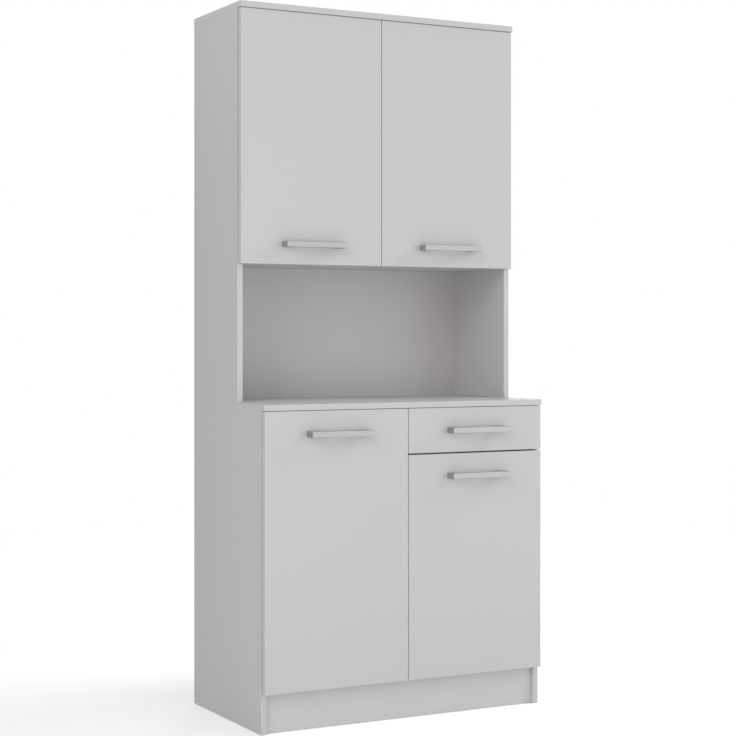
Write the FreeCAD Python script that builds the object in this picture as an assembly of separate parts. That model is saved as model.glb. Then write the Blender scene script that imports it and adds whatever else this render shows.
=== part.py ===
import FreeCAD, Part
import os

V = FreeCAD.Vector
os.makedirs("parts", exist_ok=True)

# ------------------------------------------------------------------
# Driving dimensions, millimetres.
# Cabinet coordinates used while modelling: X from the left outer face
# to the right, Y from the base carcass' front edge to the rear, Z up.
# ------------------------------------------------------------------
W = 800.0            # overall width
H = 1800.0           # overall height
T = 15.0             # board thickness
R_EDGE = 0.6         # rounding of the banded board edges
BASE_D = 422.0       # base sides, front edge to rear edge
COUNTER_D = 440.0    # countertop depth
TOP_D = 300.0        # top board depth
UPPER_D = 280.0      # upper sides depth
BASE_H = 785.0       # underside of the countertop
COUNTER_Z = 800.0    # working surface
NICHE_TOP = 1147.0   # underside of the upper box
PLINTH_H = 100.0
PLINTH_BACK = 10.0   # plinth set back from the side edges
DOOR_T = 15.0
DOOR_GAP = 2.0       # air between a door and the carcass edges
SIDE_REVEAL = 2.5    # door edge to the carcass' outer face
MID_GAP = 1.7        # air between two neighbouring fronts
BASE_DOOR_Z0 = 98.5
BASE_DOOR_Z1 = 783.8
DRAWER_Z0 = 670.0    # lower edge of the drawer front
RIGHT_DOOR_Z1 = 666.4
DRAWER_SHELF_Y = 35.0   # front edge of the board under the drawer
UPPER_DOOR_Z1 = 1783.8
BACK_IN = 24.0       # rear edges to the inner face of the thin backs
BACK_T = 3.0
GROOVE = 5.0         # depth of the grooves that hold the thin backs

HANDLE_L = 171.0
HANDLE_H = 15.0
HANDLE_OUT = 32.0    # how far a handle stands out of its front
HANDLE_BAR = 9.0
HANDLE_POST = 28.0
HANDLE_HOLES = 144.0
HANDLE_Z_UPPER = NICHE_TOP + 50.0
HANDLE_Z_BASE = 726.5
HANDLE_Z_RIGHT = 610.5

SHELF_L_Z = 440.0    # undersides of the loose shelves
SHELF_R_Z = 385.0
SHELF_U_Z = 1455.0
SHELF_BACK = 15.0    # shelf front edge behind the carcass edge
PIN_R = 2.5
PIN_PITCH = 32.0

CAM_R = 7.5
CAM_DEPTH = 12.0
CAM_IN = 24.0
DOWEL_R = 4.0

PIVOT_X = 8.5        # hinge pin, in from the carcass' outer face
PIVOT_Y = -11.6      # hinge pin, in front of the carcass' front edge
CUP_X = 23.0
CUP_R = 17.5
CUP_DEPTH = 12.6
PIN_HINGE_R = 1.2

RUN_GAP = 12.5       # drawer side to cabinet side
DRAWER_T = 12.0
DRAWER_BOX_Z0 = 690.0
DRAWER_BOX_Z1 = 772.0
DRAWER_DEPTH = 348.0
ROLLER_R = 9.0
ROLLER_BORE = 2.55
AXLE_R = 2.5
ROLLER_REAR_Z = 698.0
ROLLER_FRONT_Z = 700.2
ROLLER_FRONT_Y = 25.0
ROLLER_REAR_Y = 336.0

UY = BASE_D - UPPER_D                # front edge plane of the upper carcass
TOP_Y = BASE_D - TOP_D
COUNTER_Y = BASE_D - COUNTER_D
BACK_Y = BASE_D - BACK_IN            # inner face of the thin backs
MID = W / 2.0
ORIGIN = V(-W / 2.0, -(BASE_D + (-DOOR_GAP - DOOR_T - HANDLE_OUT)) / 2.0, 0)

nodes = {}
tools = {}


def add(node, shape):
    nodes.setdefault(node, []).append(shape)


def cut(node, *shapes):
    tools.setdefault(node, []).extend(shapes)


def box(x0, x1, y0, y1, z0, z1):
    return Part.makeBox(x1 - x0, y1 - y0, z1 - z0, V(x0, y0, z0))


def cyl(p, d, r, h):
    return Part.makeCylinder(r, h, V(*p), V(*d))


def cone(p, d, r1, r2, h):
    return Part.makeCone(r1, r2, h, V(*p), V(*d))


def fuse(shapes):
    s = shapes[0]
    for other in shapes[1:]:
        s = s.fuse(other)
    return s.removeSplitter()


def panel(node, x0, x1, y0, y1, z0, z1, r=R_EDGE):
    b = box(x0, x1, y0, y1, z0, z1)
    if r:
        b = b.makeFillet(r, b.Edges)
    add(node, b)


def shifted(p, d, k):
    return (p[0] + d[0] * k, p[1] + d[1] * k, p[2] + d[2] * k)


# ------------------------------------------------------------------
# Boards
# ------------------------------------------------------------------
panel("base_side_left", 0, T, 0, BASE_D, 0, BASE_H)
panel("base_side_right", W - T, W, 0, BASE_D, 0, BASE_H)
panel("base_bottom", T, W - T, 0, BASE_D, PLINTH_H, PLINTH_H + T)
panel("base_divider", MID - T / 2, MID + T / 2, 0, BACK_Y - 0.2, PLINTH_H + T, BASE_H)
panel("drawer_shelf", MID + T / 2, W - T, DRAWER_SHELF_Y, BACK_Y - 0.2, 661, 661 + T)
panel("countertop", 0, W, COUNTER_Y, BASE_D, BASE_H, COUNTER_Z)
panel("plinth_front", T, W - T, PLINTH_BACK, PLINTH_BACK + T, 0, PLINTH_H)
panel("plinth_rear", T, W - T, 380, 380 + T, 0, PLINTH_H)
panel("upper_side_left", 0, T, UY, BASE_D, COUNTER_Z, H - T)
panel("upper_side_right", W - T, W, UY, BASE_D, COUNTER_Z, H - T)
panel("upper_bottom", T, W - T, UY, BACK_Y - 0.2, NICHE_TOP, NICHE_TOP + T)
panel("top_panel", 0, W, TOP_Y, BASE_D, H - T, H)
panel("base_shelf_left", T + 1.2, MID - T / 2 - 1.2, SHELF_BACK, BACK_Y - 2, SHELF_L_Z, SHELF_L_Z + T)
panel("base_shelf_right", MID + T / 2 + 1.2, W - T - 1.2, SHELF_BACK, BACK_Y - 2, SHELF_R_Z, SHELF_R_Z + T)
panel("upper_shelf", T + 1.2, W - T - 1.2, UY + SHELF_BACK, BACK_Y - 2, SHELF_U_Z, SHELF_U_Z + T)
panel("base_back", T - GROOVE + 0.2, W - T + GROOVE - 0.2, BACK_Y, BACK_Y + BACK_T,
      PLINTH_H + T - GROOVE + 0.2, BASE_H + GROOVE - 0.2, 0)
panel("upper_back", T - GROOVE + 0.2, W - T + GROOVE - 0.2, BACK_Y, BACK_Y + BACK_T,
      COUNTER_Z - GROOVE + 0.2, H - T + GROOVE - 0.2, 0)

# grooves for the thin backs
gy0, gy1 = BACK_Y - 0.1, BACK_Y + BACK_T + 0.1
cut("base_side_left", box(T - GROOVE, T + 1, gy0, gy1, PLINTH_H + T - GROOVE, BASE_H + 1))
cut("base_side_right", box(W - T - 1, W - T + GROOVE, gy0, gy1, PLINTH_H + T - GROOVE, BASE_H + 1))
cut("base_bottom", box(T - 1, W - T + 1, gy0, gy1, PLINTH_H + T - GROOVE, PLINTH_H + T + 1))
cut("countertop", box(T - GROOVE, W - T + GROOVE, gy0, gy1, BASE_H - 1, BASE_H + GROOVE))
cut("countertop", box(T - GROOVE, W - T + GROOVE, gy0, gy1, COUNTER_Z - GROOVE, COUNTER_Z + 1))
cut("upper_side_left", box(T - GROOVE, T + 1, gy0, gy1, COUNTER_Z - 1, H - T + 1))
cut("upper_side_right", box(W - T - 1, W - T + GROOVE, gy0, gy1, COUNTER_Z - 1, H - T + 1))
cut("top_panel", box(T - GROOVE, W - T + GROOVE, gy0, gy1, H - T - 1, H - T + GROOVE))


# ------------------------------------------------------------------
# Cam fittings and dowels between the boards.
# p: point on the joint plane at the middle of the cammed board's edge;
# d: from the joint into the cammed board; n: towards the face the cam
# is set into.
# ------------------------------------------------------------------
def cam_joint(cammed, bolted, p, d, n):
    centre = shifted(p, d, CAM_IN)
    start = shifted(centre, n, T / 2 - CAM_DEPTH)
    back = (-d[0], -d[1], -d[2])
    cut(cammed, cyl(shifted(centre, n, T / 2 - CAM_DEPTH - 0.3), n, CAM_R + 0.05, CAM_DEPTH + 2))
    cut(cammed, cyl(shifted(p, d, -1), d, 4.0, CAM_IN + 1))
    cut(bolted, cyl(shifted(p, d, 1), back, 2.55, 12.0))
    cam = cyl(start, n, CAM_R, CAM_DEPTH - 0.2)
    # seat for the bolt's head
    seat = cyl(shifted(p, d, CAM_IN - 9.0), d, 3.3, 12.6)
    # cross recess in the cam's face
    side = (abs(d[1] * n[2] - d[2] * n[1]), abs(d[2] * n[0] - d[0] * n[2]), abs(d[0] * n[1] - d[1] * n[0]))
    top = shifted(centre, n, T / 2 - 0.2)

    def slab(u, v):
        lo, hi = [], []
        for k in range(3):
            half = 4.2 * abs(u[k]) + 0.8 * abs(v[k])
            a = top[k] - half
            b = top[k] + half
            if n[k] > 0.5:
                a, b = top[k] - 1.6, top[k] + 1
            elif n[k] < -0.5:
                a, b = top[k] - 1, top[k] + 1.6
            lo.append(a)
            hi.append(b)
        return box(lo[0], hi[0], lo[1], hi[1], lo[2], hi[2])

    cam = cam.cut([seat, slab(d, side), slab(side, d)])
    add("cam_locks", cam)
    bolt = fuse([
        cyl(shifted(p, d, -10.5), d, 2.5, 11.5),
        cyl(shifted(p, d, 0.3), d, 3.6, 1.6),
        cyl(shifted(p, d, 1.5), d, 2.7, 14.5),
        cyl(shifted(p, d, 15.5), d, 1.7, 8.0),
        cyl(shifted(p, d, 22.5), d, 2.9, 3.6),
    ])
    add("cam_bolts", bolt)


def dowel(edged, faced, p, d, into_face=10.0, into_edge=20.0):
    back = (-d[0], -d[1], -d[2])
    cut(edged, cyl(shifted(p, d, -1), d, DOWEL_R + 0.05, into_edge + 1.5))
    cut(faced, cyl(shifted(p, d, 1), back, DOWEL_R + 0.05, into_face + 1.3))
    s = fuse([
        cone(shifted(p, d, -into_face), d, DOWEL_R - 1.0, DOWEL_R, 1.0),
        cyl(shifted(p, d, -into_face + 1.0), d, DOWEL_R, into_face + into_edge - 2.0),
        cone(shifted(p, d, into_edge - 1.0), d, DOWEL_R, DOWEL_R - 1.0, 1.0),
    ])
    add("dowels", s)


LEFT, RIGHT, UP, DOWN, REAR, FRONT = (-1, 0, 0), (1, 0, 0), (0, 0, 1), (0, 0, -1), (0, 1, 0), (0, -1, 0)

for side, x, inner in (("left", T / 2, RIGHT), ("right", W - T / 2, LEFT)):
    # top board on the upper sides
    for y in (UY + 40, UY + 215):
        cam_joint("upper_side_" + side, "top_panel", (x, y, H - T), DOWN, inner)
    for y in (UY + 75, UY + 180):
        dowel("upper_side_" + side, "top_panel", (x, y, H - T), DOWN)
    # upper sides on the countertop: dowels here, screws from below further down
    for y in (UY + 25, UY + 150):
        dowel("upper_side_" + side, "countertop", (x, y, COUNTER_Z), UP)
    # countertop on the base sides
    for y in (60, 320):
        cam_joint("base_side_" + side, "countertop", (x, y, BASE_H), DOWN, inner)
    for y in (110, 265):
        dowel("base_side_" + side, "countertop", (x, y, BASE_H), DOWN, into_face=9.0)

for side, x, inward in (("left", T, RIGHT), ("right", W - T, LEFT)):
    for y in (UY + 40, UY + 215):
        cam_joint("upper_bottom", "upper_side_" + side, (x, y, NICHE_TOP + T / 2), inward, UP)
    for y in (UY + 75, UY + 180):
        dowel("upper_bottom", "upper_side_" + side, (x, y, NICHE_TOP + T / 2), inward)
    for y in (60, 340):
        cam_joint("base_bottom", "base_side_" + side, (x, y, PLINTH_H + T / 2), inward, DOWN)
    for y in (110, 290):
        dowel("base_bottom", "base_side_" + side, (x, y, PLINTH_H + T / 2), inward)
    for board, y, n in (("plinth_front", PLINTH_BACK + T / 2, REAR), ("plinth_rear", 380 + T / 2, FRONT)):
        cam_joint(board, "base_side_" + side, (x, y, 50), inward, n)
        for z in (24, 76):
            dowel(board, "base_side_" + side, (x, y, z), inward)

for y in (60, 340):
    cam_joint("base_divider", "countertop", (MID, y, BASE_H), DOWN, LEFT)
    cam_joint("base_divider", "base_bottom", (MID, y, PLINTH_H + T), UP, LEFT)
for y in (110, 290):
    dowel("base_divider", "countertop", (MID, y, BASE_H), DOWN, into_face=9.0)
    dowel("base_divider", "base_bottom", (MID, y, PLINTH_H + T), UP)
for y in (60, 340):
    cam_joint("drawer_shelf", "base_divider", (MID + T / 2, y, 661 + T / 2), RIGHT, DOWN)
    cam_joint("drawer_shelf", "base_side_right", (W - T, y, 661 + T / 2), LEFT, DOWN)
for y in (110, 290):
    dowel("drawer_shelf", "base_divider", (MID + T / 2, y, 661 + T / 2), RIGHT)
    dowel("drawer_shelf", "base_side_right", (W - T, y, 661 + T / 2), LEFT)

# long screws through the countertop from below into the upper sides
for x in (T / 2, W - T / 2):
    for y in (UY + 60, UY + 215):
        s = fuse([
            cyl((x, y, BASE_H + 0.2), UP, 4.8, 2.6),
            cone((x, y, BASE_H + 2.7), UP, 4.8, 3.2, 1.6),
            cyl((x, y, BASE_H + 4.2), UP, 3.2, 44.0),
            cone((x, y, BASE_H + 48.2), UP, 3.2, 1.2, 2.0),
        ])
        s = s.cut(box(x - 2, x + 2, y - 2, y + 2, BASE_H, BASE_H + 2.2))
        add("connector_screws", s)
        cut("countertop", cyl((x, y, BASE_H - 1), UP, 5.0, 3.9), cone((x, y, BASE_H + 2.8), UP, 5.0, 3.3, 1.7),
            cyl((x, y, BASE_H), UP, 3.3, 20))
        cut("upper_side_left" if x < MID else "upper_side_right", cyl((x, y, COUNTER_Z - 1), UP, 3.3, 38))


# ------------------------------------------------------------------
# Loose shelves on pins; three heights are drilled for each pin
# ------------------------------------------------------------------
def shelf_pin(board, x, y, z_under, d):
    z = z_under - PIN_R - 0.05
    back = (-d[0], -d[1], -d[2])
    pin = fuse([
        cyl(shifted((x, y, z), d, -6.8), d, PIN_R, 15.3),
        cyl((x, y, z), d, 3.6, 0.8),
        cone(shifted((x, y, z), d, 8.5), d, PIN_R, PIN_R - 0.7, 0.7),
    ])
    add("shelf_pins", pin)
    for k in (-1, 0, 1):
        cut(board, cyl(shifted((x, y, z + k * PIN_PITCH), d, 1), back, PIN_R + 0.05, 8.2))


for y in (55, 345):
    shelf_pin("base_side_left", T, y, SHELF_L_Z, RIGHT)
    shelf_pin("base_divider", MID - T / 2, y, SHELF_L_Z, LEFT)
for y in (75, 325):
    shelf_pin("base_divider", MID + T / 2, y, SHELF_R_Z, RIGHT)
    shelf_pin("base_side_right", W - T, y, SHELF_R_Z, LEFT)
for y in (UY + 50, UY + 210):
    shelf_pin("upper_side_left", T, y, SHELF_U_Z, RIGHT)
    shelf_pin("upper_side_right", W - T, y, SHELF_U_Z, LEFT)


# ------------------------------------------------------------------
# System screw: flat head on the fitting, thread in a 5 mm hole.
# p: on the board's face; d: from the board outwards; stack: fitting
# thickness under the head
# ------------------------------------------------------------------
def euro_screw(board, p, d, stack, fitting):
    back = (-d[0], -d[1], -d[2])
    head = shifted(p, d, stack)
    s = fuse([cyl(shifted(p, d, -10.5), d, 2.5, 10.5 + stack + 0.4), cyl(head, d, 4.0, 0.8),
              cone(shifted(p, d, -12.0), d, 0.9, 2.5, 1.5)])
    a = head
    s = s.cut(cyl(shifted(a, d, 0.3), d, 1.5, 1.0))
    add("euro_screws", s)
    cut(board, cyl(shifted(p, d, 1), back, 2.55, 13.3))
    if fitting is not None:
        fitting.append(cyl(shifted(p, d, -1), d, 2.65, stack + 2))


# ------------------------------------------------------------------
# Concealed hinge, built for the left side with the carcass' front edge
# at y = 0 and the hinge's middle at z = 0, then placed (and mirrored)
# ------------------------------------------------------------------
def place(shape, right, y, z):
    s = shape
    if right:
        s = s.mirror(V(MID, 0, 0), V(1, 0, 0))
    s = s.copy()
    s.translate(V(0, y, z))
    return s


back_face = -DOOR_GAP
cup_floor = back_face - CUP_DEPTH
pocket_out = box(4.9, 14.0, cup_floor, back_face, -8.0, 8.0)
recess = fuse([cyl((CUP_X, cup_floor, 0), REAR, CUP_R + 0.05, CUP_DEPTH + 1),
               box(4.85, 14.0, cup_floor, back_face + 1, -8.05, 8.05)])
cup_outer = fuse([cyl((CUP_X, cup_floor + 0.05, 0), REAR, CUP_R, CUP_DEPTH - 0.05),
                  box(4.9, 14.0, cup_floor + 0.05, back_face, -8.0, 8.0)])
cup_inner = fuse([cyl((CUP_X, cup_floor + 0.65, 0), REAR, CUP_R - 0.8, CUP_DEPTH + 2),
                  box(5.6, 14.0, cup_floor + 0.65, back_face + 2, -7.3, 7.3)])
wing = fuse([box(26.5, 38.5, back_face, back_face + 1.0, -24, 24),
             cyl((32.5, back_face, 24), REAR, 6.0, 1.0), cyl((32.5, back_face, -24), REAR, 6.0, 1.0),
             cyl((CUP_X, back_face, 0), REAR, 18.0, 1.0), box(4.95, 14.0, back_face, back_face + 1.0, -8.6, 8.6)])
ears = [box(5.3, 11.2, cup_floor + 0.4, -8.8, 5.3, 7.5), box(5.3, 11.2, cup_floor + 0.4, -8.8, -7.5, -5.3)]
cup_pegs = [cyl((32.5, back_face - 11.0, z), REAR, 3.95, 11.2) for z in (24, -24)]
cup = fuse([cup_outer, wing])
cup = cup.cut([cup_inner])
cup = fuse([cup] + ears + cup_pegs)
cup = cup.cut([cyl((PIVOT_X, PIVOT_Y, -7.55), UP, PIN_HINGE_R + 0.06, 15.1)])
door_peg_holes = [cyl((32.5, back_face - 11.4, z), REAR, 4.0, 12.4) for z in (24, -24)]

plate = fuse([box(T, T + 2, 12, 62, -7, 7), box(T, T + 2, 30, 44, -22, 22), box(T + 2, T + 4.6, 15, 55.5, -5.2, 5.2)])
arm = fuse([
    box(17.2, 24.0, 7, 58, -7.2, 7.2).cut(box(17, 22.6, 6, 57, -5.8, 5.8)).cut(box(16, 17.2, 0, 70, -9, 9)),
    box(21.4, 24.0, -13.0, 9, -4.8, 4.8),
    box(PIVOT_X, 24.0, -13.0, -10.4, -4.8, 4.8),
    cyl((PIVOT_X, PIVOT_Y, -4.8), UP, 2.1, 9.6),
    cyl((24.0, 22, 0), RIGHT, 3.4, 1.1), cyl((24.0, 46, 0), RIGHT, 3.4, 1.1),
])
arm = arm.cut([cyl((PIVOT_X, PIVOT_Y, -6), UP, PIN_HINGE_R + 0.01, 12),
               box(24.4, 26, 21.5, 22.5, -2.6, 2.6), box(24.4, 26, 19.4, 24.6, -0.5, 0.5),
               box(24.4, 26, 45.5, 46.5, -2.6, 2.6), box(24.4, 26, 43.4, 48.6, -0.5, 0.5)])
pin = cyl((PIVOT_X, PIVOT_Y, -7.2), UP, PIN_HINGE_R, 14.4)


def hinge(door, cups, board, right, y, z):
    holes = []
    for dz in (16, -16):
        if right:
            euro_screw(board, (W - T, y + 37, z + dz), LEFT, 2.0, holes)
        else:
            euro_screw(board, (T, y + 37, z + dz), RIGHT, 2.0, holes)
    add("hinge_plates", place(plate, right, y, z).cut(holes))
    add("hinge_arms", place(arm, right, y, z))
    add("hinge_pins", place(pin, right, y, z))
    add(cups, place(cup, right, y, z))
    cut(door, place(recess, right, y, z))
    for h in door_peg_holes:
        cut(door, place(h, right, y, z))


# ------------------------------------------------------------------
# Fronts and handles
# ------------------------------------------------------------------
def handle(node, screws, fronts, xc, face, z, back):
    """face: y of the front's outer face; back: y of the face the screw heads press on"""
    b = box(xc - HANDLE_L / 2, xc + HANDLE_L / 2, face - HANDLE_OUT, face, z - HANDLE_H / 2, z + HANDLE_H / 2)
    outer = [e for e in b.Edges if e.BoundBox.YMin < face - 1e-6]
    b = b.makeFillet(0.9, outer)
    gap = box(xc - HANDLE_L / 2 + HANDLE_POST, xc + HANDLE_L / 2 - HANDLE_POST,
              face - HANDLE_OUT + HANDLE_BAR, face + 1, z - HANDLE_H, z + HANDLE_H)
    gap = gap.makeFillet(2.0, [e for e in gap.Edges if abs(e.BoundBox.YMin - (face - HANDLE_OUT + HANDLE_BAR)) < 1e-6
                               and e.BoundBox.YLength < 1e-6 and e.BoundBox.ZLength > 1])
    b = b.cut(gap)
    for s in (-1, 1):
        x = xc + s * HANDLE_HOLES / 2
        b = b.cut(cyl((x, face + 1, z), FRONT, 2.05, 12.5))
        screw = fuse([cyl((x, face - 9.5, z), REAR, 2.0, back - face + 9.8),
                      cyl((x, back, z), REAR, 4.0, 1.2), cone((x, back + 1.2, z), REAR, 4.0, 2.6, 0.9)])
        screw = screw.cut([box(x - 2.4, x + 2.4, back + 0.9, back + 3, z - 0.5, z + 0.5),
                           box(x - 0.5, x + 0.5, back + 0.9, back + 3, z - 2.4, z + 2.4)])
        add(screws, screw)
        for f in fronts:
            cut(f, cyl((x, face - 1, z), REAR, 2.3, back - face + 2))
    add(node, b)


def door(name, right, y, x0, x1, z0, z1, hinge_z, board, handle_z):
    panel(name, x0, x1, y - DOOR_GAP - DOOR_T, y - DOOR_GAP, z0, z1)
    for z in hinge_z:
        hinge(name, "hinge_cups_" + name.replace("_door", ""), board, right, y, z)
    handle("handle_" + name.replace("_door", ""), "handle_screws_" + name.replace("_door", ""), [name],
           (x0 + x1) / 2, y - DOOR_GAP - DOOR_T, handle_z, y - DOOR_GAP)


XL0, XL1 = SIDE_REVEAL, MID - MID_GAP / 2
XR0, XR1 = MID + MID_GAP / 2, W - SIDE_REVEAL
door("upper_door_left", False, UY, XL0, XL1, NICHE_TOP, UPPER_DOOR_Z1, (NICHE_TOP + 90, 1693.0),
     "upper_side_left", HANDLE_Z_UPPER)
door("upper_door_right", True, UY, XR0, XR1, NICHE_TOP, UPPER_DOOR_Z1, (NICHE_TOP + 90, 1693.0),
     "upper_side_right", HANDLE_Z_UPPER)
door("base_door_left", False, 0, XL0, XL1, BASE_DOOR_Z0, BASE_DOOR_Z1, (BASE_DOOR_Z0 + 90, 688.0),
     "base_side_left", HANDLE_Z_BASE)
door("base_door_right", True, 0, XR0, XR1, BASE_DOOR_Z0, RIGHT_DOOR_Z1, (BASE_DOOR_Z0 + 90, 577.0),
     "base_side_right", HANDLE_Z_RIGHT)

# ------------------------------------------------------------------
# Drawer: an open box of thin boards behind its front
# ------------------------------------------------------------------
dx0 = MID + T / 2 + RUN_GAP
dx1 = W - T - RUN_GAP
dy0 = -DOOR_GAP
dy1 = dy0 + DRAWER_DEPTH
front_face = -DOOR_GAP - DOOR_T
panel("drawer_front", XR0, XR1, front_face, -DOOR_GAP, DRAWER_Z0, BASE_DOOR_Z1)
panel("drawer_side_left", dx0, dx0 + DRAWER_T, dy0, dy1, DRAWER_BOX_Z0, DRAWER_BOX_Z1, 0.5)
panel("drawer_side_right", dx1 - DRAWER_T, dx1, dy0, dy1, DRAWER_BOX_Z0, DRAWER_BOX_Z1, 0.5)
panel("drawer_box_front", dx0 + DRAWER_T, dx1 - DRAWER_T, dy0, dy0 + DRAWER_T, DRAWER_BOX_Z0, DRAWER_BOX_Z1, 0.5)
panel("drawer_back", dx0 + DRAWER_T, dx1 - DRAWER_T, dy1 - DRAWER_T, dy1, 703.2, DRAWER_BOX_Z1, 0.5)
add("drawer_bottom", box(dx0 + DRAWER_T - 5 + 0.2, dx1 - DRAWER_T + 5 - 0.2, dy0 + DRAWER_T - 5 + 0.2, dy1, 700, 703))
gz0, gz1 = 699.9, 703.1
cut("drawer_side_left", box(dx0 + DRAWER_T - 5, dx0 + DRAWER_T + 1, dy0 + DRAWER_T - 5, dy1 + 1, gz0, gz1))
cut("drawer_side_right", box(dx1 - DRAWER_T - 1, dx1 - DRAWER_T + 5, dy0 + DRAWER_T - 5, dy1 + 1, gz0, gz1))
cut("drawer_box_front", box(dx0, dx1, dy0 + DRAWER_T - 5, dy0 + DRAWER_T + 1, gz0, gz1))
handle("drawer_handle", "drawer_handle_screws", ["drawer_front", "drawer_box_front"], (XR0 + XR1) / 2, front_face,
       HANDLE_Z_BASE, dy0 + DRAWER_T)


def wood_screw(p, d, boards, length=25.0):
    """p: on the outer face; d: inwards"""
    s = fuse([cone(p, d, 3.4, 1.75, 2.2), cyl(shifted(p, d, 2.1), d, 1.75, length - 5.1),
              cone(shifted(p, d, length - 3.0), d, 1.75, 0.3, 3.0)])
    side = [abs(abs(c) - 1) for c in d]
    lo = [p[k] - (2.0 if side[k] else 1.2) for k in range(3)]
    hi = [p[k] + (2.0 if side[k] else 1.2) for k in range(3)]
    thin = 2 if side[2] else 0
    lo[thin], hi[thin] = p[thin] - 0.4, p[thin] + 0.4
    s = s.cut(box(lo[0], hi[0], lo[1], hi[1], lo[2], hi[2]))
    add("drawer_screws", s)
    for b in boards:
        cut(b, cone(shifted(p, d, -0.01), d, 3.5, 1.8, 2.3), cyl(p, d, 1.8, length + 0.5))


for z in (714, 757):
    wood_screw((dx0, dy0 + 3.6, z), RIGHT, ["drawer_side_left", "drawer_box_front"])
    wood_screw((dx1, dy0 + 3.6, z), LEFT, ["drawer_side_right", "drawer_box_front"])
    wood_screw((dx0, dy1 - DRAWER_T / 2, z), RIGHT, ["drawer_side_left", "drawer_back"])
    wood_screw((dx1, dy1 - DRAWER_T / 2, z), LEFT, ["drawer_side_right", "drawer_back"])
for x in (dx0 + 55, dx1 - 55):
    wood_screw((x, dy0 + DRAWER_T, 740), FRONT, ["drawer_box_front", "drawer_front"])

# ------------------------------------------------------------------
# Roller runners. s runs from the cabinet wall (0) to the drawer side.
# ------------------------------------------------------------------
half = ROLLER_R + 0.3
track_z = ROLLER_FRONT_Z + ROLLER_R + 0.3


def runner(side):
    def sx(s0, s1):
        if side == "left":
            return MID + T / 2 + s0, MID + T / 2 + s1
        return W - T - s1, W - T - s0

    def sbox(s0, s1, y0, y1, z0, z1):
        a, b = sx(s0, s1)
        return box(a, b, y0, y1, z0, z1)

    def scyl(s0, s1, y, z, r):
        a, b = sx(s0, s1)
        return cyl((a, y, z), RIGHT, r, b - a)

    zr = ROLLER_REAR_Z
    wall = MID + T / 2 if side == "left" else W - T
    out = RIGHT if side == "left" else LEFT
    board = "base_divider" if side == "left" else "base_side_right"
    fixed = fuse([
        sbox(0, 1, 6, 350, zr - half - 1, zr + half + 1),
        sbox(0, 9, 6, 350, zr - half - 1, zr - half),
        sbox(0, 9, 42, 350, zr + half, zr + half + 1),
        scyl(0.5, 3.2, ROLLER_FRONT_Y, ROLLER_FRONT_Z, 4.0),
        scyl(0.5, 9.0, ROLLER_FRONT_Y, ROLLER_FRONT_Z, AXLE_R),
        scyl(8.7, 9.6, ROLLER_FRONT_Y, ROLLER_FRONT_Z, 4.2),
    ])
    holes = []
    for y in (70, 166, 326):
        euro_screw(board, (wall, y, zr), out, 1.0, holes)
    add("runner_cabinet_" + side, fixed.cut(holes))
    moving = fuse([
        sbox(11.5, 12.5, 2, dy1, DRAWER_BOX_Z0 - 1, track_z + 1),
        sbox(11.5, 22.5, 2, dy1, DRAWER_BOX_Z0 - 1, DRAWER_BOX_Z0),
        sbox(3.6, 12.5, 2, dy1, track_z, track_z + 1),
        scyl(8.7, 12.0, ROLLER_REAR_Y, zr, 4.0),
        scyl(2.7, 12.0, ROLLER_REAR_Y, zr, AXLE_R),
        scyl(2.2, 3.1, ROLLER_REAR_Y, zr, 4.2),
    ])
    x = wall + (16.5 if side == "left" else -16.5)
    screw_holes = []
    for y in (60, 290):
        p = (x, y, DRAWER_BOX_Z0 - 1)
        wood_screw(p, UP, ["drawer_side_" + side])
        screw_holes += [cone(shifted(p, UP, -0.01), UP, 3.5, 1.8, 2.3), cyl(p, UP, 1.8, 5)]
    add("runner_drawer_" + side, moving.cut(screw_holes))
    for name, y, z in (("front", ROLLER_FRONT_Y, ROLLER_FRONT_Z), ("rear", ROLLER_REAR_Y, zr)):
        a, b = sx(3.4, 8.4)
        prof = Part.makePolygon([V(a, ROLLER_BORE, 0), V(b, ROLLER_BORE, 0), V(b, ROLLER_R - 0.5, 0),
                                 V(b - 0.5, ROLLER_R, 0), V(a + 0.5, ROLLER_R, 0), V(a, ROLLER_R - 0.5, 0),
                                 V(a, ROLLER_BORE, 0)])
        ring = Part.Face(prof).revolve(V(0, 0, 0), V(1, 0, 0), 360)
        ring.translate(V(0, y, z))
        add("roller_%s_%s" % (name, side), ring)


runner("left")
runner("right")

# ------------------------------------------------------------------
# Anti-tip brackets under the top board, against the thin back
# ------------------------------------------------------------------
for xc in (90.0, W - 90.0):
    br = fuse([box(xc - 11, xc + 11, BACK_Y - 32, BACK_Y, H - T - 1.6, H - T),
               box(xc - 11, xc + 11, BACK_Y - 1.6, BACK_Y, H - T - 42, H - T)])
    holes = []
    euro_screw("top_panel", (xc, BACK_Y - 20, H - T), DOWN, 1.6, holes)
    holes.append(cyl((xc, BACK_Y - 5, H - T - 27), REAR, 2.75, 10))
    add("wall_brackets", br.cut(holes))
    cut("upper_back", cyl((xc, BACK_Y - 5, H - T - 27), REAR, 3.5, 15))

# ------------------------------------------------------------------
# Cut, check and write
# ------------------------------------------------------------------
for name in sorted(nodes):
    shapes = nodes[name]
    if name in tools:
        shapes = [s.cut(tools[name]) for s in shapes]
    solids = []
    for s in shapes:
        for k in s.Solids:
            if k.Volume > 0.5:
                solids.append(k)
    for k in solids:
        if not k.isValid() or k.Volume <= 0:
            print("BAD", name, k.isValid(), k.Volume)
    out = solids[0].copy() if len(solids) == 1 else Part.makeCompound(solids)
    out.translate(ORIGIN)
    out.exportStep("parts/%s.step" % name)
print("nodes", len(nodes), "solids", sum(len(v) for v in nodes.values()))
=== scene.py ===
import math

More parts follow.
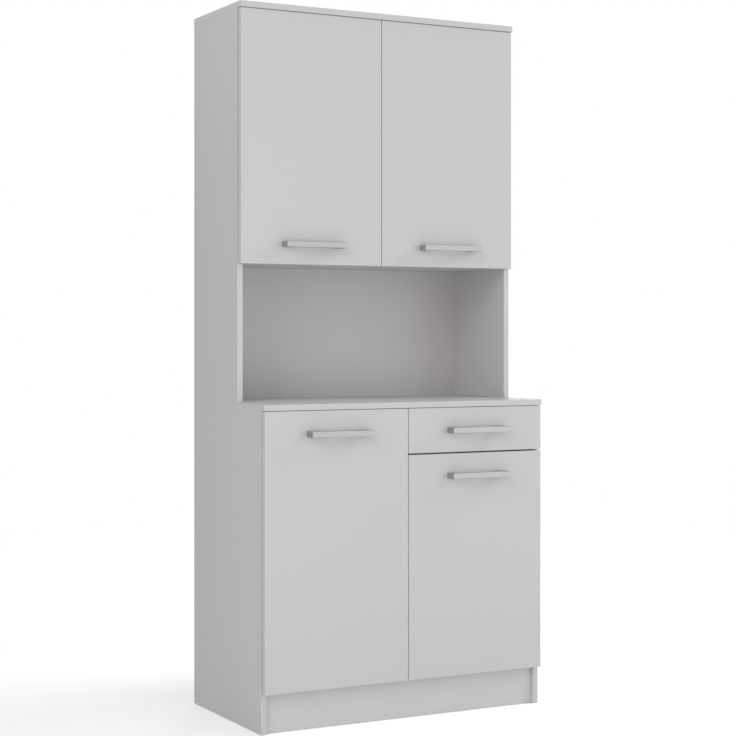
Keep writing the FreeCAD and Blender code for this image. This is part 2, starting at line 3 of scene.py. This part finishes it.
import bpy
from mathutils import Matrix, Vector


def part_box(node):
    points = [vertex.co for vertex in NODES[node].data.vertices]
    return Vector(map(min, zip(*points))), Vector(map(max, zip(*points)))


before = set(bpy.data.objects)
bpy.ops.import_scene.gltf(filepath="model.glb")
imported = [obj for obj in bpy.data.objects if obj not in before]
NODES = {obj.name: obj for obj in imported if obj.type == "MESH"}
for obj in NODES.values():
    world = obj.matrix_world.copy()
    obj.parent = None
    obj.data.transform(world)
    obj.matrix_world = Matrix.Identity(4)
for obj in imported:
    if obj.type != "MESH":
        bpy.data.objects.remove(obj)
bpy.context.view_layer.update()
scene = bpy.context.scene

MM = 0.001


# ------------------------------------------------------------------
# A short way to write shader node trees
# ------------------------------------------------------------------
class Tree:
    def __init__(self, name):
        self.mat = bpy.data.materials.new(name)
        self.mat.use_nodes = True
        self.t = self.mat.node_tree
        self.t.nodes.clear()
        self.out = self.t.nodes.new("ShaderNodeOutputMaterial")
        self.coord = self.t.nodes.new("ShaderNodeTexCoord")
        self.p = self.coord.outputs["Object"]
        self.n = self.coord.outputs["Normal"]
        self._xyz = None

    def new(self, kind, **settings):
        node = self.t.nodes.new(kind)
        for k, v in settings.items():
            setattr(node, k, v)
        return node

    def put(self, socket, value):
        if isinstance(value, bpy.types.NodeSocket):
            self.t.links.new(value, socket)
        elif value is not None:
            socket.default_value = value

    def math(self, op, a, b=None, c=None, clamp=False):
        node = self.new("ShaderNodeMath", operation=op, use_clamp=clamp)
        for k, v in enumerate((a, b, c)):
            if v is not None:
                self.put(node.inputs[k], v)
        return node.outputs[0]

    def add(self, a, b):
        return self.math("ADD", a, b)

    def sub(self, a, b):
        return self.math("SUBTRACT", a, b)

    def mul(self, a, b):
        return self.math("MULTIPLY", a, b)

    def lesser(self, *values):
        s = values[0]
        for v in values[1:]:
            s = self.math("MINIMUM", s, v)
        return s

    def greater(self, *values):
        s = values[0]
        for v in values[1:]:
            s = self.math("MAXIMUM", s, v)
        return s

    def xyz(self):
        if self._xyz is None:
            s = self.new("ShaderNodeSeparateXYZ")
            self.put(s.inputs[0], self.p)
            self._xyz = [s.outputs[k] for k in range(3)]
        return self._xyz

    def facing(self, axis):
        s = self.new("ShaderNodeSeparateXYZ")
        self.put(s.inputs[0], self.n)
        return s.outputs[axis]

    def scaled(self, sx, sy, sz, offset=(0, 0, 0)):
        node = self.new("ShaderNodeMapping")
        self.put(node.inputs["Vector"], self.p)
        node.inputs["Location"].default_value = offset
        node.inputs["Scale"].default_value = (sx, sy, sz)
        return node.outputs[0]

    def step(self, x, lo, hi, a=0.0, b=1.0, smooth=True):
        node = self.new("ShaderNodeMapRange", interpolation_type="SMOOTHSTEP" if smooth else "LINEAR")
        for k, v in enumerate((x, lo, hi, a, b)):
            self.put(node.inputs[k], v)
        return node.outputs[0]

    def noise(self, vector, scale, detail=2.0, rough=0.5, distortion=0.0):
        node = self.new("ShaderNodeTexNoise")
        self.put(node.inputs["Vector"], vector)
        node.inputs["Scale"].default_value = scale
        node.inputs["Detail"].default_value = detail
        node.inputs["Roughness"].default_value = rough
        node.inputs["Distortion"].default_value = distortion
        return node.outputs["Fac"]

    def cells(self, vector, scale, output="Distance", feature="F1"):
        node = self.new("ShaderNodeTexVoronoi", feature=feature)
        self.put(node.inputs["Vector"], vector)
        node.inputs["Scale"].default_value = scale
        return node.outputs[output]

    def grey(self, colour):
        node = self.new("ShaderNodeRGBToBW")
        self.put(node.inputs[0], colour)
        return node.outputs[0]

    def mix(self, f, a, b, blend="MIX"):
        node = self.new("ShaderNodeMix", data_type="RGBA", blend_type=blend)
        self.put(node.inputs[0], f)
        for k, v in ((6, a), (7, b)):
            self.put(node.inputs[k], (*v, 1.0) if isinstance(v, tuple) else v)
        return node.outputs[2]

    def mixf(self, f, a, b):
        node = self.new("ShaderNodeMix", data_type="FLOAT")
        for k, v in ((0, f), (2, a), (3, b)):
            self.put(node.inputs[k], v)
        return node.outputs[0]

    def ramp(self, x, stops):
        node = self.new("ShaderNodeValToRGB")
        self.put(node.inputs[0], x)
        e = node.color_ramp.elements
        while len(e) < len(stops):
            e.new(0.5)
        for k, (at, colour) in enumerate(stops):
            e[k].position = at
            e[k].color = (*colour, 1.0)
        return node.outputs[0]

    def tint(self, colour, amount):
        """colour times (1 + amount)"""
        node = self.new("ShaderNodeVectorMath", operation="SCALE")
        self.put(node.inputs[0], colour)
        self.put(node.inputs["Scale"], self.add(amount, 1.0))
        return node.outputs[0]

    def bump(self, height, distance, strength=1.0, under=None):
        node = self.new("ShaderNodeBump")
        self.put(node.inputs["Height"], height)
        node.inputs["Distance"].default_value = distance
        node.inputs["Strength"].default_value = strength
        if under is not None:
            self.put(node.inputs["Normal"], under)
        return node.outputs[0]

    def surface(self, colour, rough, normal=None, **fixed):
        b = self.new("ShaderNodeBsdfPrincipled")
        self.put(b.inputs["Base Color"], (*colour, 1.0) if isinstance(colour, tuple) else colour)
        self.put(b.inputs["Roughness"], rough)
        if normal is not None:
            self.put(b.inputs["Normal"], normal)
        for k, v in fixed.items():
            b.inputs[k.replace("_", " ")].default_value = v
        self.t.links.new(b.outputs[0], self.out.inputs["Surface"])
        return self.mat


def paint(node, mat):
    o = NODES[node]
    o.data.materials.clear()
    o.data.materials.append(mat)


# ------------------------------------------------------------------
# Colours, linear
# ------------------------------------------------------------------
LAMINATE = (0.622, 0.606, 0.610)
# plinth tone: the same white laminate, painted lighter than LAMINATE; painted light that makes up for the light the
# recessed plinth gets too little of
PLINTH_PAINTED_LIGHT = (0.655, 0.648, 0.650)
FOIL = (0.655, 0.648, 0.640)
LACQUER = (0.610, 0.596, 0.592)
CHIP_DARK = (0.150, 0.088, 0.045)
CHIP_MID = (0.390, 0.265, 0.150)
CHIP_PALE = (0.600, 0.465, 0.305)
FIBRE = (0.215, 0.133, 0.075)


def chipboard(t, along):
    """Pressed wood chips, as on a sawn edge or in a drilled hole. along: the axis the chips lie along."""
    s = [1.0, 1.0, 1.0]
    s[along] = 0.38
    v = t.scaled(*s)
    chips = t.grey(t.cells(v, 640.0, "Color"))
    fine = t.noise(v, 1900.0, 3.0, 0.6)
    dark = t.step(t.noise(v, 420.0, 2.0, 0.6), 0.60, 0.72)
    f = t.add(t.mul(chips, 0.55), t.mul(fine, 0.5))
    colour = t.ramp(f, [(0.12, CHIP_DARK), (0.42, CHIP_MID), (0.85, CHIP_PALE)])
    colour = t.mix(t.mul(dark, 0.55), colour, CHIP_DARK)
    height = t.add(t.mul(t.cells(v, 640.0), -1.0), t.mul(fine, 0.8))
    return colour, height


def fibreboard(t, flat_axes):
    """Raw rear face of thin hardboard: fine fibres and the faint screen pattern left by the press."""
    a, b = flat_axes
    c = t.xyz()
    blot = t.noise(t.p, 9.0, 4.0, 0.55)
    fibre = t.noise(t.p, 1300.0, 4.0, 0.65, 0.6)
    fleck = t.step(t.noise(t.scaled(1, 1, 0.3), 520.0, 2.0), 0.66, 0.74)
    screen = t.math("MULTIPLY", t.math("SINE", t.mul(c[a], 2.0 * math.pi / 0.0016)),
                    t.math("SINE", t.mul(c[b], 2.0 * math.pi / 0.0016)))
    f = t.add(t.mul(t.sub(blot, 0.5), 0.45), t.add(t.mul(t.sub(fibre, 0.5), 0.7), t.mul(screen, 0.06)))
    colour = t.tint(FIBRE, f)
    colour = t.mix(t.mul(fleck, 0.5), colour, (0.34, 0.235, 0.145))
    return colour, t.add(t.mul(screen, 0.5), fibre)


def board_material(node, thick, raw=(), tone=LAMINATE, seed=0.0, film_rough=0.47):
    """Melamine-faced chipboard. The two large faces carry the film, and the narrow sides an edge band with a fine
    joint line, except the sides in raw, which are sawn. Anything cut into the board shows its core."""
    t = Tree("board_" + node)
    lo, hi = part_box(node)
    c = t.xyz()
    flat = [k for k in range(3) if k != thick]
    sides = {}
    for k in range(3):
        sides["-" + "xyz"[k]] = t.sub(c[k], lo[k])
        sides["+" + "xyz"[k]] = t.sub(hi[k], c[k])
    dt = t.lesser(sides["-" + "xyz"[thick]], sides["+" + "xyz"[thick]])
    edge_names = [s + "xyz"[k] for k in flat for s in "-+"]
    de = t.lesser(*[sides[s] for s in edge_names])
    inside = t.step(t.lesser(dt, de), 0.30 * MM, 0.42 * MM)
    on_edge = t.step(t.sub(dt, de), -0.03 * MM, 0.03 * MM)
    sawn = inside
    if raw:
        dr = t.lesser(*[sides[s] for s in raw])
        dry = t.mul(t.step(t.sub(dt, dr), 0.02 * MM, 0.10 * MM), t.step(dr, 0.03 * MM, 0.07 * MM, 1.0, 0.0))
        sawn = t.greater(inside, dry)
    banded = [s for s in edge_names if s not in raw]
    where = t.scaled(1, 1, 1, (seed, seed * 0.7, seed * 0.3))

    # film: an even print with a faint pearl, a hardly visible cloudiness, and fine pits in the press plate's texture
    cloud = t.noise(where, 2.2, 3.0, 0.5)
    pearl = t.noise(where, 950.0, 3.0, 0.62)
    pits = t.cells(where, 1500.0)
    f = t.add(t.mul(t.sub(cloud, 0.5), 0.020), t.mul(t.sub(pearl, 0.5), 0.055))
    film = t.tint(tone, f)
    # edge band: the same tone, a touch smoother, drawn lengthwise
    band_streak = t.noise(where, 2600.0, 2.0, 0.5)
    band = t.tint(tone, t.mul(t.sub(band_streak, 0.5), 0.03))
    colour = t.mix(on_edge, film, band)
    rough = t.add(t.mul(t.sub(pearl, 0.5), 0.14), film_rough)
    smudge = t.noise(where, 6.5, 4.0, 0.6)
    rough = t.add(rough, t.mul(t.sub(smudge, 0.5), 0.08))
    rough = t.mixf(on_edge, rough, film_rough - 0.03)
    height = t.add(t.mul(pearl, 0.7), t.mul(pits, 0.35))
    if banded:
        db = t.lesser(*[sides[s] for s in banded])
        line = t.step(t.math("ABSOLUTE", t.sub(db, 0.95 * MM)), 0.05 * MM, 0.16 * MM, 1.0, 0.0)
        line = t.mul(line, t.sub(1.0, on_edge))
        colour = t.tint(colour, t.mul(line, -0.16))
        height = t.sub(height, t.mul(line, 2.2))
    raw_colour, raw_height = chipboard(t, flat[0] if hi[flat[0]] - lo[flat[0]] > hi[flat[1]] - lo[flat[1]] else flat[1])
    colour = t.mix(sawn, colour, raw_colour)
    rough = t.mixf(sawn, rough, 0.86)
    normal = t.bump(t.mixf(sawn, t.mul(height, 0.016), t.mul(raw_height, 0.22)), 1.0 * MM)
    return t.surface(colour, rough, normal)


def sheet_material(node, thick, rear, seed=0.0):
    """Thin fibreboard: lacquered on its good face, raw on the face named by rear, such as +y."""
    t = Tree("sheet_" + node)
    lo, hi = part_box(node)
    c = t.xyz()
    flat = [k for k in range(3) if k != thick]
    d = t.sub(hi[thick], c[thick]) if rear[0] == "+" else t.sub(c[thick], lo[thick])
    full = hi[thick] - lo[thick]
    raw = t.step(d, full - 0.25 * MM, full - 0.12 * MM, 1.0, 0.0)
    where = t.scaled(1, 1, 1, (seed, seed, seed))
    cloud = t.noise(where, 3.1, 3.0, 0.5)
    grain = t.noise(where, 1100.0, 3.0, 0.6)
    good = t.tint(LACQUER, t.add(t.mul(t.sub(cloud, 0.5), 0.02), t.mul(t.sub(grain, 0.5), 0.04)))
    rough_good = t.add(t.mul(t.sub(grain, 0.5), 0.12), 0.50)
    back, back_height = fibreboard(t, flat)
    colour = t.mix(raw, good, back)
    rough = t.mixf(raw, rough_good, 0.82)
    normal = t.bump(t.mixf(raw, t.mul(grain, 0.010), t.mul(back_height, 0.07)), 1.0 * MM)
    return t.surface(colour, rough, normal)


def metal_material(name, tone, rough, along=None, streak=0.10, grain=0.008, blot=0.04, **fixed):
    """Metal with fine drawing lines along one axis, faint blotches and a slightly uneven gloss."""
    t = Tree(name)
    s = [1.0, 1.0, 1.0]
    if along is not None:
        s = [1.0, 1.0, 1.0]
        s[along] = 0.012
    lines = t.noise(t.scaled(*s), 2600.0, 3.0, 0.65)
    cloud = t.noise(t.p, 55.0, 4.0, 0.6)
    f = t.add(t.mul(t.sub(lines, 0.5), streak), t.mul(t.sub(cloud, 0.5), blot))
    colour = t.tint(tone, f)
    r = t.add(t.add(t.mul(t.sub(lines, 0.5), 0.22), t.mul(t.sub(cloud, 0.5), 0.12)), rough)
    normal = t.bump(lines, grain * MM)
    return t.surface(colour, r, normal, Metallic=1.0, **fixed)


# ------------------------------------------------------------------
# Boards: which axis is the thickness, and which narrow sides are sawn
# ------------------------------------------------------------------
X, Y, Z = 0, 1, 2
BOARDS = {
    "base_side_left": (X, ("+y", "+z", "-z")),
    "base_side_right": (X, ("+y", "+z", "-z")),
    "base_bottom": (Z, ("-x", "+x", "+y")),
    "base_divider": (X, ("+y", "-z", "+z")),
    "drawer_shelf": (Z, ("-x", "+x", "+y")),
    "countertop": (Z, ("+y",)),
    "plinth_front": (Y, ("-x", "+x", "+z", "-z")),
    "plinth_rear": (Y, ("-x", "+x", "+z", "-z")),
    "base_shelf_left": (Z, ("-x", "+x", "+y")),
    "base_shelf_right": (Z, ("-x", "+x", "+y")),
    "upper_side_left": (X, ("+y", "+z", "-z")),
    "upper_side_right": (X, ("+y", "+z", "-z")),
    "upper_bottom": (Z, ("-x", "+x", "+y")),
    "upper_shelf": (Z, ("-x", "+x", "+y")),
    "top_panel": (Z, ("+y",)),
    "upper_door_left": (Y, ()),
    "upper_door_right": (Y, ()),
    "base_door_left": (Y, ()),
    "base_door_right": (Y, ()),
    "drawer_front": (Y, ()),
}
for k, (name, (thick, raw)) in enumerate(BOARDS.items()):
    # the plinth boards get the lighter plinth tone, which is painted light
    tone = PLINTH_PAINTED_LIGHT if name.startswith("plinth") else LAMINATE
    paint(name, board_material(name, thick, raw, tone=tone, seed=1.37 * k))

DRAWER_BOARDS = {
    "drawer_box_front": (Y, ("-z",)),
    "drawer_side_left": (X, ("-y", "+y", "-z")),
    "drawer_side_right": (X, ("-y", "+y", "-z")),
    "drawer_back": (Y, ("-x", "+x", "-z")),
}
for k, (name, (thick, raw)) in enumerate(DRAWER_BOARDS.items()):
    paint(name, board_material(name, thick, raw, tone=FOIL, seed=31.0 + 2.1 * k, film_rough=0.52))

paint("base_back", sheet_material("base_back", Y, "+y", 3.0))
paint("upper_back", sheet_material("upper_back", Y, "+y", 5.0))
paint("drawer_bottom", sheet_material("drawer_bottom", Z, "-z", 7.0))

# ------------------------------------------------------------------
# Metal, plastic and small parts
# ------------------------------------------------------------------
HANDLES = ["handle_upper_left", "handle_upper_right", "handle_base_left", "handle_base_right", "drawer_handle"]
handle_metal = metal_material("handle_satin", (0.455, 0.456, 0.454), 0.42, along=X, streak=0.09, grain=0.006,
                              Anisotropic=0.30)
for name in HANDLES:
    paint(name, handle_metal)

hinge_nickel = metal_material("hinge_nickel", (0.62, 0.605, 0.57), 0.24, streak=0.05, grain=0.004, blot=0.10)
for name in ["hinge_plates", "hinge_arms", "hinge_pins"] + ["hinge_cups_" + a + "_" + b for a in ("upper", "base")
                                                              for b in ("left", "right")]:
    paint(name, hinge_nickel)

zinc = metal_material("zinc_plate", (0.58, 0.59, 0.61), 0.30, streak=0.12, grain=0.006, blot=0.16)
for name in ["drawer_handle_screws", "drawer_screws", "euro_screws", "connector_screws", "cam_bolts", "shelf_pins",
             "wall_brackets"] + ["handle_screws_" + a + "_" + b for a in ("upper", "base") for b in ("left", "right")]:
    paint(name, zinc)

t = Tree("cam_cast")
g1 = t.noise(t.p, 900.0, 4.0, 0.7)
g2 = t.noise(t.p, 120.0, 2.0, 0.5)
paint("cam_locks", t.surface(t.tint((0.43, 0.43, 0.44), t.add(t.mul(t.sub(g1, 0.5), 0.3), t.mul(t.sub(g2, 0.5), 0.2))),
                             t.add(t.mul(g1, 0.2), 0.38), t.bump(g1, 0.03 * MM), Metallic=1.0))

t = Tree("dowel_beech")
grain = t.noise(t.scaled(0.25, 0.25, 0.25), 1800.0, 3.0, 0.6, 0.4)
pores = t.step(t.noise(t.scaled(0.2, 0.2, 0.2), 5200.0, 2.0), 0.60, 0.68)
paint("dowels", t.surface(t.mix(t.mul(pores, 0.5), t.ramp(grain, [(0.3, (0.47, 0.29, 0.15)), (0.7, (0.66, 0.46, 0.27))]),
                                (0.30, 0.17, 0.08)), 0.72, t.bump(grain, 0.05 * MM)))

t = Tree("runner_coat")
peel = t.noise(t.p, 1500.0, 2.0, 0.5)
rub = t.noise(t.scaled(1, 0.02, 1), 900.0, 3.0, 0.6)
c = t.xyz()
paint_tone = t.tint((0.74, 0.74, 0.725), t.mul(t.sub(peel, 0.5), 0.05))
paint_tone = t.mix(t.mul(t.step(rub, 0.62, 0.74), 0.35), paint_tone, (0.42, 0.42, 0.42))
runner_coat = t.surface(paint_tone, t.add(t.mul(t.sub(peel, 0.5), 0.15), 0.36), t.bump(peel, 0.03 * MM))
for s in ("left", "right"):
    paint("runner_cabinet_" + s, runner_coat)
    paint("runner_drawer_" + s, runner_coat)

t = Tree("roller_nylon")
haze = t.noise(t.p, 400.0, 3.0, 0.55)
turned = t.noise(t.scaled(1.0, 0.05, 0.05), 3000.0, 2.0, 0.5)
roller_nylon = t.surface(t.tint((0.79, 0.785, 0.75), t.mul(t.sub(haze, 0.5), 0.06)),
                         t.add(t.mul(turned, 0.12), 0.30), t.bump(turned, 0.01 * MM),
                         Subsurface_Weight=0.15, Subsurface_Scale=0.002)
for name in ("roller_front_left", "roller_front_right", "roller_rear_left", "roller_rear_right"):
    paint(name, roller_nylon)

# ------------------------------------------------------------------
# Plain pale floor: a wide disc that fades into the background
# ------------------------------------------------------------------
FLOOR_R = 6.0
bpy.ops.mesh.primitive_circle_add(vertices=128, radius=FLOOR_R, fill_type="NGON", location=(0, 0, -0.0004))
floor = bpy.context.object
floor.name = "floor"
t = Tree("floor_pale")
where = t.xyz()
radius = t.math("SQRT", t.add(t.mul(where[0], where[0]), t.mul(where[1], where[1])))
mottle = t.noise(t.p, 14.0, 4.0, 0.55)
b = t.new("ShaderNodeBsdfPrincipled")
seen = t.new("ShaderNodeLightPath").outputs["Is Camera Ray"]
t.put(b.inputs["Base Color"], t.tint(t.mix(seen, (0.84, 0.84, 0.84), (1.45, 1.45, 1.45)), t.mul(t.sub(mottle, 0.5), 0.01)))
b.inputs["Roughness"].default_value = 0.85
b.inputs["Specular IOR Level"].default_value = 0.2
clear = t.new("ShaderNodeBsdfTransparent")
fade = t.new("ShaderNodeMixShader")
t.put(fade.inputs[0], t.step(radius, 1.6, 4.6))
t.t.links.new(b.outputs[0], fade.inputs[1])
t.t.links.new(clear.outputs[0], fade.inputs[2])
t.t.links.new(fade.outputs[0], t.out.inputs["Surface"])
floor.data.materials.append(t.mat)

# ------------------------------------------------------------------
# Soft studio light: an even surround and a ring of large soft boxes
# ------------------------------------------------------------------
AMBIENT = 0.347
AIM = Vector((0.0, -0.2, 1.0))
# azimuth from the front towards the right, elevation, distance, width, height, watts
RING = (
    (-62, 6, 2.7, 1.2, 2.4, 14.4),
    (15, 0, 6.0, 2.6, 4.4, 26.0),
    (35, 0, 6.0, 2.6, 4.4, 43.1),
    (-70, 28, 6.0, 2.6, 2.6, 29.0),
    (-40, 28, 6.0, 2.6, 2.6, 39.3),
    (80, 28, 6.0, 2.6, 2.6, 164.0),
    (-15, -8, 6.0, 2.6, 1.4, 22.9),
    (60, -8, 6.0, 2.6, 1.4, 24.8),
    (150, 12, 6.0, 2.6, 2.6, 50.0),
    (-160, 25, 6.0, 2.6, 2.6, 25.0),
)
world = bpy.data.worlds.new("studio")
scene.world = world
world.use_nodes = True
w = world.node_tree
w.nodes.clear()
w_out = w.nodes.new("ShaderNodeOutputWorld")
w_mix = w.nodes.new("ShaderNodeMixShader")
w_path = w.nodes.new("ShaderNodeLightPath")
w_light = w.nodes.new("ShaderNodeBackground")
w_light.inputs["Color"].default_value = (1.0, 0.995, 0.985, 1.0)
w_light.inputs["Strength"].default_value = AMBIENT
w_seen = w.nodes.new("ShaderNodeBackground")
w_seen.inputs["Color"].default_value = (1.0, 1.0, 1.0, 1.0)
w_seen.inputs["Strength"].default_value = 1.0
w.links.new(w_path.outputs["Is Camera Ray"], w_mix.inputs[0])
w.links.new(w_light.outputs[0], w_mix.inputs[1])
w.links.new(w_seen.outputs[0], w_mix.inputs[2])
w.links.new(w_mix.outputs[0], w_out.inputs["Surface"])


def soft_box(name, at, to, width, height, power, colour=(1.0, 1.0, 1.0)):
    data = bpy.data.lights.new(name, "AREA")
    data.shape = "RECTANGLE"
    data.size, data.size_y = width, height
    data.energy = power
    data.color = colour
    o = bpy.data.objects.new(name, data)
    scene.collection.objects.link(o)
    o.location = at
    o.rotation_euler = (Vector(to) - Vector(at)).to_track_quat("-Z", "Y").to_euler()
    o.visible_camera = False
    return o


for k, (az, el, far, wide, high, watts) in enumerate(RING):
    a, e = math.radians(az), math.radians(el)
    way = Vector((math.sin(a) * math.cos(e), -math.cos(a) * math.cos(e), math.sin(e)))
    soft_box("soft_box_%d" % k, AIM + far * way, AIM, wide, high, watts)

# ------------------------------------------------------------------
# Camera
# ------------------------------------------------------------------
cam_data = bpy.data.cameras.new("camera")
cam_data.sensor_width = 36.0
cam_data.lens = 36.0 * 1746.75 / 736.0
cam_data.shift_x = (368.0 - 365.28) / 736.0
cam_data.shift_y = -(368.0 - 334.43) / 736.0
cam_data.clip_end = 60.0
cam = bpy.data.objects.new("camera", cam_data)
scene.collection.objects.link(cam)
cam.location = (-2.1614, -4.03488, 0.97019)
cam.rotation_euler = (math.radians(90.0), 0.0, math.radians(-28.01))
scene.camera = cam

scene.view_settings.view_transform = "Standard"
scene.view_settings.look = "None"
